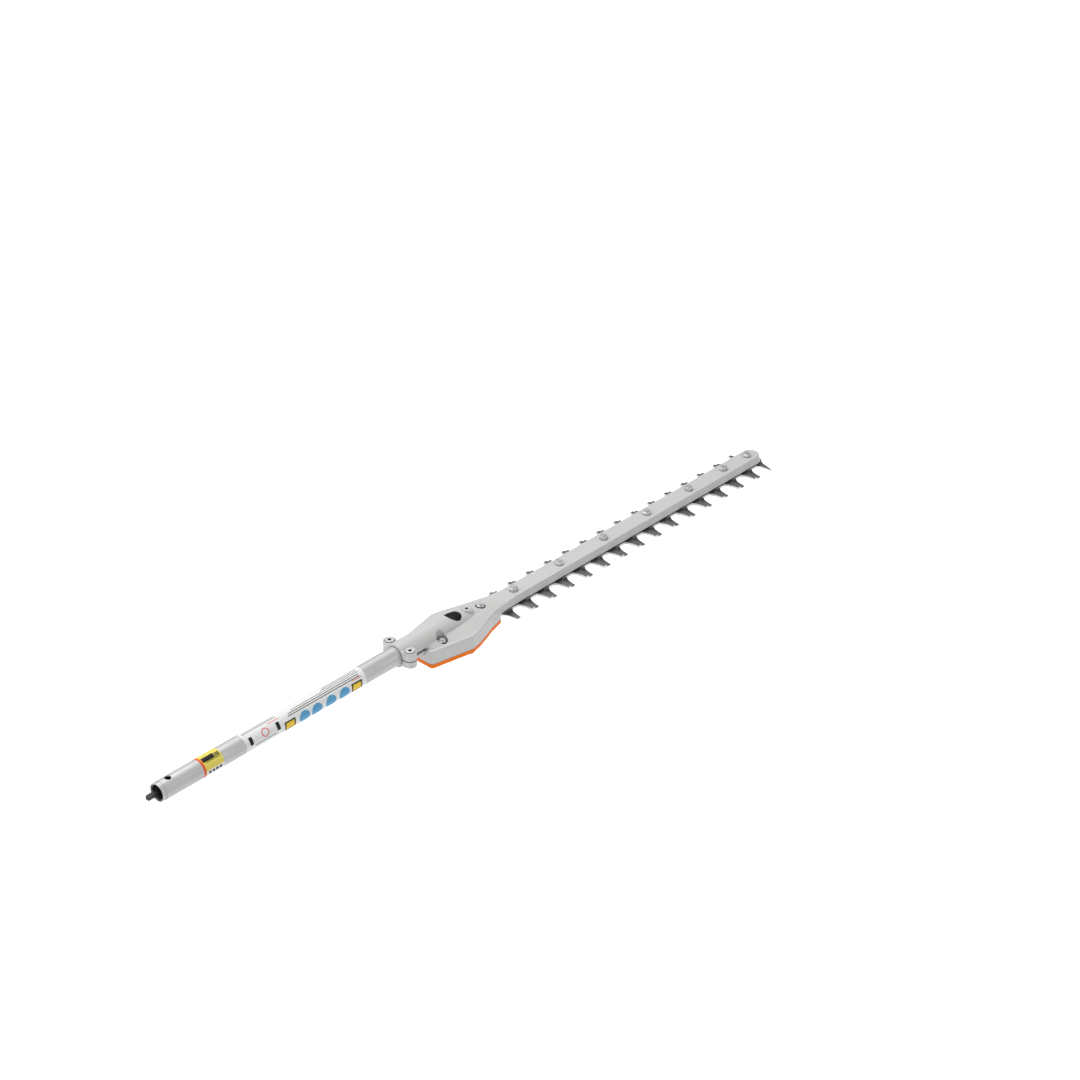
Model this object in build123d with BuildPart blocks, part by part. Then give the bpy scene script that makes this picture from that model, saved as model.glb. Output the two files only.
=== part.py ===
from build123d import *
from math import cos, exp, radians, sin, sqrt
import os

# Long-reach hedge trimmer attachment: a drive tube, a cast gear case that runs on as the guide bar,
# and two toothed blades that slide against each other.
# Frame, in mm: X = 0 at the tube's open end, +X along the tube to the blade tip, +Z up,
# and the tube's axis is Y = 0, Z = 0.

# ---- driving dimensions -------------------------------------------------------------------
TUBE_R, TUBE_BORE, TUBE_END = 12.7, 11.0, 424.0      # 25.4 mm tube, seated in the case at TUBE_END
TUBE_LIP_R, TUBE_LIP = 12.3, 5.5                     # turned-down lip at the open end
SEAT_R, SEAT_X = 12.5, 384.4                         # the tube is sized down where the case holds it
LOCATOR_X, LOCATOR_R = 17.5, 4.2                     # round hole for the power head's catch
SHAFT_R, SHAFT_SQ, SHAFT_TIP = 4.0, 5.6, -15.4       # drive shaft, its square ends and outer tip
BUSH_X, BUSH_LEN = (55.0, 155.0, 255.0, 355.0), 16.0

CLAMP_X, EAR_X, EAR_Y, EAR_R = 385.0, 393.6, 18.0, 8.5
COLLAR_R, CLAMP_GAP = 16.0, 0.6                      # collar round the tube, half the clamp's split
EAR_TOP, EAR_BOTTOM = 11.5, -9.6

CASE_TOP, CASE_BOTTOM = -2.4, -21.4                  # rim of the case, and its joint face
CASE_PLAN = ((424.0, 25.2), (486.0, 37.6), (503.0, 33.6), (521.0, 27.4), (536.0, 21.8))
CASE_ROUND = (5.0, 9.0, 14.0, 14.0)                  # rounding of the first four plan corners
NOSE_X, NOSE_HALF = 558.0, 16.0
WALL = 3.0

BAR_BOTTOM, BAR_TOP, BAR_HALF, BAR_TAPER = -13.0, -3.4, 14.3, 13.0
BAR_TIP = 1090.0
STRIP_BOTTOM, STRIP_HALF = -16.3, 13.2               # dark spacer strip under the bar

CRANK_X, CRANK_R = 487.0, 8.6                        # crank axis, and its throw
CRANK_REST = 4.5                                     # upper eccentric's offset along X at rest
PINION_TEETH, WHEEL_TEETH = 13, 47
PITCH_R, FACE = 26.0, 7.7                            # wheel's outer pitch radius, tooth face width
ECC_R, HUB_R, ROD_RING, ROD_LEN = 14.8, 6.0, 18.2, 32.0

TOOTH_PITCH, TOOTH_REACH, TOOTH_ROOT = 34.42, 33.2, 11.0
BLADE_T = 2.6
UPPER_TOP, LOWER_TOP = -16.7, -19.7
UPPER_NEAR, LOWER_NEAR = 565.9, 574.1                # centres of tooth 0, on the -Y side
FAR_SHIFT = 22.2                                     # the +Y teeth stand this much further on
STROKE_OUT, STROKE_IN = 4.1, 13.1                    # upper blade's travel from rest, +X and -X
BOLT_X = (598.2, 684.5, 770.8, 857.2, 943.6, 1017.0, 1067.5)
SHOULDER_R, GUIDE_R, THREAD_R = 4.0, 3.5, 3.0
GUIDE_X = 537.0                                      # guide screw through the case nose

COVER_TOP, COVER_BOTTOM, COVER_FLOOR = -21.9, -28.4, -26.4
COVER_SCREWS = ((433.5, 18.6), (487.0, 31.4))        # each also at -Y
CASE_BOLTS = ((450.0, 17.5),)                        # through bolts, each also at -Y
FILLER_X, FILLER_TOP = 512.0, 9.0
PLUG_R = 11.2                                        # rubber plug in the crank bore
# shoulders and neck, at each X: half-width low down, the rim's half-width and height, the crest's
# half-width and height, and the height on the centre line
SHOULDER = ((425.5, 20.5, 20.4, -4.4, 15.0, 3.2, 3.2), (430.5, 25.4, 25.0, -4.2, 15.5, 3.4, 3.4),
            (486.0, 36.4, 36.2, -3.2, 15.5, 3.4, 3.4), (503.0, 32.6, 32.2, -2.9, 15.0, 2.8, 3.6),
            (521.0, 26.6, 26.4, -2.4, 14.0, 1.8, 3.6), (537.0, 21.4, 20.9, -1.8, 12.5, 0.6, 1.8),
            (549.0, 18.4, 17.9, -2.2, 10.8, -0.6, 0.3), (563.0, 15.6, 15.0, -3.1, 9.0, -2.2, -1.4),
            (592.0, 14.3, 12.1, -3.5, 7.0, -3.4, -3.4))

# ---- values that follow from them ---------------------------------------------------------
CRANK_SIDE = sqrt(CRANK_R ** 2 - CRANK_REST ** 2)
UPPER_ECC = (CRANK_X + CRANK_REST, CRANK_SIDE)
LOWER_ECC = (CRANK_X - CRANK_REST, -CRANK_SIDE)
ROD_DX = sqrt(ROD_LEN ** 2 - CRANK_SIDE ** 2)
UPPER_PIN_X, LOWER_PIN_X = UPPER_ECC[0] + ROD_DX, LOWER_ECC[0] + ROD_DX
MODULE = 2 * PITCH_R / WHEEL_TEETH
PINION_R = PITCH_R * PINION_TEETH / WHEEL_TEETH      # also how far the wheel's pitch circle is down
ADDENDUM, DEDENDUM, HALF_TOOTH = MODULE, 1.25 * MODULE, 0.58 * MODULE
INNER = (PITCH_R - FACE) / PITCH_R                   # scale of a tooth's inner end


def both_sides(points):
    return [(x, side * y) for x, y in points for side in (1, -1)]


def case_corners(inset, last):
    """Plan of the case, moved in by inset and cut off square at X = last."""
    half = [(CASE_PLAN[0][0] + 1.6 * inset, CASE_PLAN[0][1] - inset)]
    half += [(x, y - 1.06 * inset) for x, y in CASE_PLAN[1:-1]]
    x0, y0 = half[-1]
    x1, y1 = CASE_PLAN[-1][0], CASE_PLAN[-1][1] - 1.06 * inset
    half.append((last, y0 + (y1 - y0) * (last - x0) / (x1 - x0)))
    return half + [(x, -y) for x, y in reversed(half)]


def round_corners(corners):
    """Rounds the case's plan corners in the sketch being built."""
    for radius, (x, y) in zip(CASE_ROUND, CASE_PLAN):
        fillet([v for v in corners if abs(v.X - x) < 0.01 and abs(abs(v.Y) - y) < 0.01], radius)


def ridge_height(x):
    """Height of the centre of the 16 mm radius ridge that buries itself in the case and bar."""
    first = 3.2 / (1 + exp(-(x - 479) / 9.0))
    return -first - 16.6 / (1 + exp(-(x - 519) / 11.0))


# ---- tube and drive shaft -----------------------------------------------------------------
with BuildPart() as drive_tube:
    with BuildSketch(Plane.YZ.offset(TUBE_LIP)):
        Circle(TUBE_R)
        Circle(TUBE_BORE, mode=Mode.SUBTRACT)
    extrude(amount=SEAT_X - TUBE_LIP)
    for radius, start, end in ((TUBE_LIP_R, 0, TUBE_LIP), (SEAT_R, SEAT_X, TUBE_END)):
        with BuildSketch(Plane.YZ.offset(start)):
            Circle(radius)
            Circle(TUBE_BORE, mode=Mode.SUBTRACT)
        extrude(amount=end - start)
    with BuildSketch(Plane.XY.offset(5.0)):
        with Locations((LOCATOR_X, 0)):
            Circle(LOCATOR_R)
    extrude(amount=10, mode=Mode.SUBTRACT)

with BuildPart() as tube_end_sleeve:
    with BuildSketch(Plane.YZ.offset(1.2)):
        Circle(TUBE_BORE)
        Circle(9.8, mode=Mode.SUBTRACT)
    extrude(amount=30)
    with BuildSketch(Plane.XY.offset(5.0)):
        with Locations((LOCATOR_X, 0)):
            Circle(LOCATOR_R + 0.5)
    extrude(amount=10, mode=Mode.SUBTRACT)

with BuildPart() as shaft_bushes:
    for x in BUSH_X:
        with BuildSketch(Plane.YZ.offset(x)):
            Circle(TUBE_BORE)
            Circle(SHAFT_R + 0.06, mode=Mode.SUBTRACT)
            with PolarLocations(8.6, 6):
                SlotOverall(3.6, 2.4, mode=Mode.SUBTRACT)
        extrude(amount=BUSH_LEN)

with BuildPart() as drive_shaft:
    with BuildSketch(Plane.YZ.offset(SHAFT_TIP)):
        Rectangle(SHAFT_SQ, SHAFT_SQ)
    extrude(amount=22)
    chamfer(faces().sort_by(Axis.X)[0].edges(), 0.8)
    with BuildSketch(Plane.YZ.offset(SHAFT_TIP + 22)):
        Circle(SHAFT_R)
    extrude(amount=426 - SHAFT_TIP - 22)
    with BuildSketch(Plane.YZ.offset(426)):
        Rectangle(SHAFT_SQ, SHAFT_SQ)
    extrude(amount=24)

# ---- pinion line --------------------------------------------------------------------------
BRG_X, BRG_W, BRG_OUT, BRG_IN, BRG_MID, BALL_R = 431.0, 6.0, 12.0, 6.0, 9.0, 1.5

with BuildPart() as bevel_pinion:
    with BuildSketch(Plane.YZ.offset(BRG_X - 2.0)):
        Circle(BRG_IN)
    extrude(amount=2 * BRG_W + 2.0)
    with BuildSketch(Plane.YZ.offset(BRG_X + 2 * BRG_W)):
        Circle(7.2)
    extrude(amount=CRANK_X - PITCH_R - 3 - BRG_X - 2 * BRG_W)
    with BuildSketch(Plane.XY):
        with BuildLine():
            Polyline((CRANK_X - PITCH_R - 3, 0), (CRANK_X - PITCH_R - 3, 7.2),
                     (CRANK_X - PITCH_R, PINION_R - DEDENDUM),
                     (CRANK_X - PITCH_R + FACE, (PINION_R - DEDENDUM) * INNER),
                     (CRANK_X - PITCH_R + FACE, 0), close=True)
        make_face()
    revolve(axis=Axis.X)
    for i in range(PINION_TEETH):
        turn = radians(-90 + 360 / PINION_TEETH * i)
        for s in (1.0, INNER):
            tip, root = (PINION_R + ADDENDUM) * s, (PINION_R - DEDENDUM - 0.3) * s
            wide, thin = (HALF_TOOTH + 0.45) * s, (HALF_TOOTH - 0.36 * ADDENDUM) * s
            at = (CRANK_X - PITCH_R * s, 0, 0)
            with BuildSketch(Plane(at, x_dir=(0, cos(turn), sin(turn)), z_dir=(1, 0, 0))):
                with BuildLine():
                    Polyline((root, -wide), (tip, -thin), (tip, thin), (root, wide), close=True)
                make_face()
        loft()
    with BuildSketch(Plane.YZ.offset(BRG_X - 3)):
        Rectangle(SHAFT_SQ + 0.1, SHAFT_SQ + 0.1)
    extrude(amount=24, mode=Mode.SUBTRACT)
    with BuildSketch(Plane.YZ.offset(BRG_X - 1.1)):
        Circle(BRG_IN + 1)
        Circle(BRG_IN - 0.4, mode=Mode.SUBTRACT)
    extrude(amount=1.1, mode=Mode.SUBTRACT)

with BuildPart() as pinion_circlip:
    with BuildSketch(Plane.YZ.offset(BRG_X - 1.1)):
        Circle(BRG_IN + 0.9)
        Circle(BRG_IN - 0.4, mode=Mode.SUBTRACT)
        with Locations((0, -BRG_IN)):
            Rectangle(2.4, 4, mode=Mode.SUBTRACT)
    extrude(amount=1.1)

with BuildPart() as pinion_bearing_outer:
    for i in range(2):
        with BuildSketch(Plane.YZ.offset(BRG_X + i * (BRG_W + 0.1))):
            Circle(BRG_OUT)
            Circle(BRG_MID + 1.15, mode=Mode.SUBTRACT)
        extrude(amount=BRG_W - 0.1)
        with Locations(Location((BRG_X + i * (BRG_W + 0.1) + BRG_W / 2, 0, 0), (0, 90, 0))):
            Torus(BRG_MID, BALL_R + 0.05, mode=Mode.SUBTRACT)

with BuildPart() as pinion_bearing_inner:
    for i in range(2):
        with BuildSketch(Plane.YZ.offset(BRG_X + i * (BRG_W + 0.1))):
            Circle(BRG_MID - 1.15)
            Circle(BRG_IN, mode=Mode.SUBTRACT)
        extrude(amount=BRG_W - 0.1)
        with Locations(Location((BRG_X + i * (BRG_W + 0.1) + BRG_W / 2, 0, 0), (0, 90, 0))):
            Torus(BRG_MID, BALL_R + 0.05, mode=Mode.SUBTRACT)

with BuildPart() as pinion_bearing_balls:
    for i in range(2):
        with Locations(Location((BRG_X + i * (BRG_W + 0.1) + BRG_W / 2, 0, 0), (0, 90, 0))):
            with PolarLocations(BRG_MID, 11):
                Sphere(BALL_R)

with BuildPart() as bore_circlip:
    with BuildSketch(Plane.YZ.offset(BRG_X + 2 * BRG_W + 0.1)):
        Circle(BRG_OUT)
        Circle(BRG_OUT - 2, mode=Mode.SUBTRACT)
        with Locations((0, -BRG_OUT)):
            Rectangle(5, 5, mode=Mode.SUBTRACT)
    extrude(amount=1.2)

# ---- crank, bevel wheel and rods ----------------------------------------------------------
with BuildPart() as crankshaft:
    for radius, bottom, top, at in ((4.0, -6.9, 7.0, (CRANK_X, 0)), (5.0, -12.9, -6.9, (CRANK_X, 0)),
                                    (ECC_R, -16.3, -12.9, UPPER_ECC), (HUB_R, -22.8, -16.3, (CRANK_X, 0)),
                                    (ECC_R, -26.0, -22.8, LOWER_ECC)):
        with BuildSketch(Plane.XY.offset(bottom)):
            with Locations(at):
                Circle(radius)
        extrude(amount=top - bottom)
    with BuildSketch(Plane.XY.offset(5.2)):
        with Locations((CRANK_X, 0)):
            Circle(4.5)
            Circle(3.6, mode=Mode.SUBTRACT)
    extrude(amount=0.9, mode=Mode.SUBTRACT)
    with BuildSketch(Plane.XY.offset(-12.4)):
        with Locations((CRANK_X + 5, 0)):
            Rectangle(2.4, 2.4)
    extrude(amount=3.6, mode=Mode.SUBTRACT)

with BuildPart() as crank_circlip:
    with BuildSketch(Plane.XY.offset(5.2)):
        with Locations((CRANK_X, 0)):
            Circle(5.8)
            Circle(3.6, mode=Mode.SUBTRACT)
        with Locations((CRANK_X + 4.5, 0)):
            Rectangle(4, 2.2, mode=Mode.SUBTRACT)
    extrude(amount=0.9)

with BuildPart() as bevel_wheel:
    with BuildSketch(Plane.XZ):
        with BuildLine():
            Polyline((CRANK_X + 5, -12.5), (CRANK_X + 25.4, -12.5), (CRANK_X + 26.6, -11.6),
                     (CRANK_X + PITCH_R * 1.02, (-PINION_R - DEDENDUM) * 1.02),
                     (CRANK_X + PITCH_R * (INNER - 0.03), (-PINION_R - DEDENDUM) * (INNER - 0.03)),
                     (CRANK_X + 16.4, -8.3), (CRANK_X + 5, -8.3), close=True)
        make_face()
    revolve(axis=Axis((CRANK_X, 0, 0), (0, 0, 1)))
    for i in range(WHEEL_TEETH):
        turn = radians(180 + 360 / WHEEL_TEETH * (i + 0.5))
        for s in (1.0, INNER):
            tip, root = (-PINION_R + ADDENDUM) * s, (-PINION_R - DEDENDUM - 0.3) * s
            wide, thin = (HALF_TOOTH + 0.45) * s, (HALF_TOOTH - 0.36 * ADDENDUM) * s
            at = (CRANK_X + PITCH_R * s * cos(turn), PITCH_R * s * sin(turn), 0)
            with BuildSketch(Plane(at, x_dir=(-sin(turn), cos(turn), 0), z_dir=(cos(turn), sin(turn), 0))):
                with BuildLine():
                    Polyline((-wide, root), (-thin, tip), (thin, tip), (wide, root), close=True)
                make_face()
        loft()
    with BuildSketch(Plane.XY.offset(-13)):
        with Locations((CRANK_X, 0)):
            with PolarLocations(11.5, 6):
                Circle(2.6)
        with Locations((CRANK_X + 5, 0)):
            Rectangle(2.4, 2.4)
    extrude(amount=6, mode=Mode.SUBTRACT)

with BuildPart() as wheel_key:
    with BuildSketch(Plane.XY.offset(-12.4)):
        with Locations((CRANK_X + 5, 0)):
            Rectangle(2.4, 2.4)
    extrude(amount=3.6)

CRANK_BRG_Z, CB_W, CB_OUT, CB_IN, CB_MID = -6.9, 6.0, 9.5, 4.0, 6.75

with BuildPart() as crank_bearing_outer:
    for i in range(2):
        with BuildSketch(Plane.XY.offset(CRANK_BRG_Z + i * CB_W)):
            with Locations((CRANK_X, 0)):
                Circle(CB_OUT)
                Circle(CB_MID + 1.15, mode=Mode.SUBTRACT)
        extrude(amount=CB_W - 0.1)
        with Locations((CRANK_X, 0, CRANK_BRG_Z + (i + 0.5) * CB_W)):
            Torus(CB_MID, BALL_R + 0.05, mode=Mode.SUBTRACT)

with BuildPart() as crank_bearing_inner:
    for i in range(2):
        with BuildSketch(Plane.XY.offset(CRANK_BRG_Z + i * CB_W)):
            with Locations((CRANK_X, 0)):
                Circle(CB_MID - 1.15)
                Circle(CB_IN, mode=Mode.SUBTRACT)
        extrude(amount=CB_W - 0.1)
        with Locations((CRANK_X, 0, CRANK_BRG_Z + (i + 0.5) * CB_W)):
            Torus(CB_MID, BALL_R + 0.05, mode=Mode.SUBTRACT)

with BuildPart() as crank_bearing_balls:
    for i in range(2):
        with Locations((CRANK_X, 0, CRANK_BRG_Z + (i + 0.5) * CB_W)):
            with PolarLocations(CB_MID, 8):
                Sphere(BALL_R)

with BuildPart() as upper_rod:
    with BuildSketch(Plane.XY.offset(-16.2)):
        with Locations(UPPER_ECC):
            Circle(ROD_RING)
        with Locations((UPPER_PIN_X, 0)):
            Circle(6)
        with BuildLine():
            Polyline((UPPER_ECC[0] + 6, UPPER_ECC[1] + 10), (UPPER_PIN_X, 5), (UPPER_PIN_X, -5),
                     (UPPER_ECC[0] + 6, UPPER_ECC[1] - 10), close=True)
        make_face()
        with Locations(UPPER_ECC):
            Circle(ECC_R + 0.05, mode=Mode.SUBTRACT)
        with Locations((UPPER_PIN_X, 0)):
            Circle(3.5, mode=Mode.SUBTRACT)
    extrude(amount=3.1)

with BuildPart() as upper_rod_pin:
    with BuildSketch(Plane.XY.offset(-16.35)):
        with Locations((UPPER_PIN_X, 0)):
            Circle(3.5)
    extrude(amount=3.4)

with BuildPart() as lower_rod:
    with BuildSketch(Plane.XY.offset(-25.9)):
        with Locations(LOWER_ECC):
            Circle(ROD_RING)
        with Locations((LOWER_PIN_X, 0)):
            Circle(6)
        with BuildLine():
            Polyline((LOWER_ECC[0] + 6, LOWER_ECC[1] + 10), (LOWER_PIN_X, 5), (LOWER_PIN_X, -5),
                     (LOWER_ECC[0] + 6, LOWER_ECC[1] - 10), close=True)
        make_face()
        with Locations(LOWER_ECC):
            Circle(ECC_R + 0.05, mode=Mode.SUBTRACT)
        with Locations((LOWER_PIN_X, 0)):
            Circle(3.5, mode=Mode.SUBTRACT)
    extrude(amount=3.1)

with BuildPart() as lower_rod_pin:
    with BuildSketch(Plane.XY.offset(-26.0)):
        with Locations((LOWER_PIN_X, 0)):
            Circle(3.5)
    extrude(amount=3.35)

# ---- gear case, cast in one piece with the guide bar --------------------------------------
with BuildPart() as gear_housing:
    # the box that holds the wheel
    with BuildSketch(Plane.XY.offset(CASE_BOTTOM)):
        corners = case_corners(0, CASE_PLAN[-1][0])
        with BuildLine():
            Polyline(*corners, close=True)
        make_face()
        round_corners(vertices())
    extrude(amount=CASE_TOP - CASE_BOTTOM)
    fillet(faces().sort_by(Axis.Z)[-1].edges().filter_by(lambda e: e.center().X < 530), 1.6)
    # the nose under the bar
    with BuildSketch(Plane.XY.offset(CASE_BOTTOM)):
        with BuildLine():
            Polyline((535, 22.1), (NOSE_X, NOSE_HALF), (NOSE_X, -NOSE_HALF), (535, -22.1), close=True)
        make_face()
    extrude(amount=BAR_BOTTOM - CASE_BOTTOM)
    # sloped shoulders beside the ridge, and the neck that turns the box's sides into the bar's
    for first, last in zip(SHOULDER, SHOULDER[1:]):
        for x, low, rim, rim_z, crest, crest_z, middle_z in (first, last):
            with BuildSketch(Plane.YZ.offset(x)):
                with BuildLine():
                    Polyline((low, BAR_BOTTOM), (rim, rim_z), (crest, crest_z), (0, middle_z),
                             (-crest, crest_z), (-rim, rim_z), (-low, BAR_BOTTOM), close=True)
                make_face()
        loft(ruled=True)
    # the bar, with drafted sides and a round tip
    with BuildSketch(Plane.XY.offset(BAR_BOTTOM)):
        with BuildLine():
            turn_x = BAR_TIP - BAR_HALF
            Polyline((turn_x, BAR_HALF), (590, BAR_HALF), (590, -BAR_HALF), (turn_x, -BAR_HALF))
            ThreePointArc((turn_x, -BAR_HALF), (BAR_TIP, 0), (turn_x, BAR_HALF))
        make_face()
    extrude(amount=BAR_TOP - BAR_BOTTOM, taper=BAR_TAPER)
    # the half-round ridge over the pinion and crank, sinking into the bar
    for x in (CLAMP_X, 440, *range(452, 593, 7)):
        centre = ridge_height(x)
        low = max(centre, BAR_BOTTOM + 0.6)
        half = sqrt(COLLAR_R ** 2 - (low - centre) ** 2)
        with BuildSketch(Plane.YZ.offset(x)):
            with BuildLine():
                ThreePointArc((-half, low), (0, centre + COLLAR_R), (half, low))
                Polyline((half, low), (half, BAR_BOTTOM + 0.5), (-half, BAR_BOTTOM + 0.5), (-half, low))
            make_face()
    loft(ruled=True)
    # clamp ears at the tube end; nothing of the casting stands below the clamp's split there
    with BuildSketch(Plane.XY.offset(CLAMP_GAP)):
        with Locations((EAR_X, EAR_Y), (EAR_X, -EAR_Y)):
            Circle(EAR_R)
        with Locations(((CLAMP_X + EAR_X + 7) / 2, 0)):
            Rectangle(EAR_X + 7 - CLAMP_X, 2 * EAR_Y)
    extrude(amount=EAR_TOP - CLAMP_GAP)
    with Locations((CLAMP_X + 18, 0, CLAMP_GAP - 20)):
        Box(2 * (TUBE_END - CLAMP_X - 18), 70, 40, mode=Mode.SUBTRACT)
    # filler boss
    with BuildSketch(Plane.XY.offset(0)):
        with Locations((FILLER_X, 0)):
            Circle(7.5)
    extrude(amount=FILLER_TOP)
    # gear chamber, open at the joint face
    with BuildSketch(Plane.XY.offset(CASE_BOTTOM)):
        with BuildLine():
            Polyline(*case_corners(WALL, 534.0), close=True)
        make_face()
    extrude(amount=-6.0 - CASE_BOTTOM, mode=Mode.SUBTRACT)
    for radius, top in ((29.6, -5.0), (23.0, -3.8)):
        with BuildSketch(Plane.XY.offset(CASE_BOTTOM)):
            with Locations((CRANK_X, 0)):
                Circle(radius)
        extrude(amount=top - CASE_BOTTOM, mode=Mode.SUBTRACT)
    with BuildSketch(Plane.YZ.offset(440)):
        Circle(10)
    extrude(amount=33, mode=Mode.SUBTRACT)
    # bearing seats and screw bosses stand in the chamber
    with BuildSketch(Plane.YZ.offset(425)):
        Circle(15.2)
    extrude(amount=21)
    with BuildSketch(Plane.XY.offset(CRANK_BRG_Z - 0.5)):
        with Locations((CRANK_X, 0)):
            Circle(12.4)
    extrude(amount=12)
    with BuildSketch(Plane.XY.offset(CASE_BOTTOM)):
        with Locations(*both_sides(COVER_SCREWS)):
            Circle(4.2)
        with Locations(*both_sides(CASE_BOLTS)):
            Circle(5.6)
    extrude(amount=-4.5 - CASE_BOTTOM)
    # bores
    with BuildSketch(Plane.YZ.offset(CLAMP_X - 1)):
        Circle(SEAT_R)
    extrude(amount=TUBE_END - CLAMP_X + 1, mode=Mode.SUBTRACT)
    with BuildSketch(Plane.YZ.offset(TUBE_END - 1)):
        Circle(8)
    extrude(amount=10, mode=Mode.SUBTRACT)
    with BuildSketch(Plane.YZ.offset(BRG_X)):
        Circle(BRG_OUT)
    extrude(amount=16, mode=Mode.SUBTRACT)
    for radius, bottom, top in ((CB_OUT, -9, 5.1), (7.6, 5, 7), (PLUG_R, 6.0, 20)):
        with BuildSketch(Plane.XY.offset(bottom)):
            with Locations((CRANK_X, 0)):
                Circle(radius)
        extrude(amount=top - bottom, mode=Mode.SUBTRACT)
    # slot for the blades through the nose
    with Locations(((532 + NOSE_X + 2) / 2, 0, (STRIP_BOTTOM + CASE_BOTTOM) / 2)):
        Box(NOSE_X + 2 - 532, 23, STRIP_BOTTOM - CASE_BOTTOM, mode=Mode.SUBTRACT)
    # filler hole and its counterbore
    for radius, bottom in ((4.0, -8), (6.2, FILLER_TOP - 2.2)):
        with BuildSketch(Plane.XY.offset(bottom)):
            with Locations((FILLER_X, 0)):
                Circle(radius)
        extrude(amount=FILLER_TOP + 2 - bottom, mode=Mode.SUBTRACT)
    # pockets and holes for the through bolts, guide screw and cover screws
    with BuildSketch(Plane.XY.offset(-4.6)):
        with Locations(*both_sides(CASE_BOLTS)):
            Circle(7.4)
    extrude(amount=20, mode=Mode.SUBTRACT)
    with BuildSketch(Plane.XY.offset(-0.4)):
        with Locations((GUIDE_X, 0)):
            Circle(6.8)
    extrude(amount=10, mode=Mode.SUBTRACT)
    with BuildSketch(Plane.XY.offset(-23)):
        with Locations(*both_sides(CASE_BOLTS)):
            Circle(THREAD_R)
        with Locations((GUIDE_X, 0)):
            Circle(THREAD_R)
        with Locations(*[(x, 0) for x in BOLT_X]):
            Circle(THREAD_R)
    extrude(amount=30, mode=Mode.SUBTRACT)
    with BuildSketch(Plane.XY.offset(-23)):
        with Locations(*both_sides(COVER_SCREWS)):
            Circle(2.0)
    extrude(amount=13, mode=Mode.SUBTRACT)
    # clamp screw counterbores and holes
    for radius, bottom in ((2.5, -1), (6.8, EAR_TOP - 2.6)):
        with BuildSketch(Plane.XY.offset(bottom)):
            with Locations((EAR_X, EAR_Y), (EAR_X, -EAR_Y)):
                Circle(radius)
        extrude(amount=15, mode=Mode.SUBTRACT)

with BuildPart() as lower_clamp:
    with BuildSketch(Plane.YZ.offset(CLAMP_X)):
        Circle(COLLAR_R)
        with Locations((0, 20 - CLAMP_GAP)):
            Rectangle(40, 40, mode=Mode.SUBTRACT)
    extrude(amount=TUBE_END - 0.6 - CLAMP_X)
    with BuildSketch(Plane.XY.offset(-CLAMP_GAP)):
        with Locations((EAR_X, EAR_Y), (EAR_X, -EAR_Y)):
            Circle(EAR_R)
        with Locations(((CLAMP_X + EAR_X + 7) / 2, 0)):
            Rectangle(EAR_X + 7 - CLAMP_X, 2 * EAR_Y)
    extrude(amount=EAR_BOTTOM + CLAMP_GAP)
    with BuildSketch(Plane.YZ.offset(CLAMP_X - 1)):
        Circle(SEAT_R)
    extrude(amount=60, mode=Mode.SUBTRACT)
    # open slit behind the ears, on both sides
    with Locations((TUBE_END - 10.5, 0, -2.0)):
        Box(21.8, 40, 4, mode=Mode.SUBTRACT)
    with BuildSketch(Plane.XY.offset(-12)):
        with Locations((EAR_X, EAR_Y), (EAR_X, -EAR_Y)):
            Circle(2.5)
    extrude(amount=20, mode=Mode.SUBTRACT)

with BuildPart() as clamp_screws:
    for y in (EAR_Y, -EAR_Y):
        for radius, bottom, top in ((2.5, EAR_BOTTOM - 1.0, EAR_TOP - 2.6),
                                    (6.3, EAR_TOP - 2.6, EAR_TOP + 1.0)):
            with BuildSketch(Plane.XY.offset(bottom)):
                with Locations((EAR_X, y)):
                    Circle(radius)
            extrude(amount=top - bottom)
    with BuildSketch(Plane.XY.offset(EAR_TOP - 1.2)):
        with Locations((EAR_X, EAR_Y), (EAR_X, -EAR_Y)):
            for angle in (0, 60, 120):
                SlotOverall(5.4, 1.7, rotation=angle)
    extrude(amount=3, mode=Mode.SUBTRACT)

# ---- plugs, cover and case fasteners ------------------------------------------------------
with BuildPart() as bore_plug:
    with BuildSketch(Plane.XZ):
        with BuildLine():
            Polyline((CRANK_X, 7.2), (CRANK_X + PLUG_R, 7.2), (CRANK_X + PLUG_R, 8.6),
                     (CRANK_X + 9.8, 9.6), (CRANK_X + 6.2, 10.8), (CRANK_X, 11.6), close=True)
        make_face()
    revolve(axis=Axis((CRANK_X, 0, 0), (0, 0, 1)))

with BuildPart() as filler_plug:
    for radius, bottom, top in ((4.0, -3.4, FILLER_TOP - 1.8), (5.9, FILLER_TOP - 1.8, FILLER_TOP + 0.5)):
        with BuildSketch(Plane.XY.offset(bottom)):
            with Locations((FILLER_X, 0)):
                Circle(radius)
        extrude(amount=top - bottom)
    with BuildSketch(Plane.XY.offset(FILLER_TOP - 1.2)):
        with Locations((FILLER_X, 0)):
            for angle in (0, 60, 120):
                SlotOverall(5.2, 1.6, rotation=angle)
    extrude(amount=3, mode=Mode.SUBTRACT)

with BuildPart() as filler_washer:
    with BuildSketch(Plane.XY.offset(FILLER_TOP - 2.2)):
        with Locations((FILLER_X, 0)):
            Circle(6.0)
            Circle(4.0, mode=Mode.SUBTRACT)
    extrude(amount=0.4)

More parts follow.
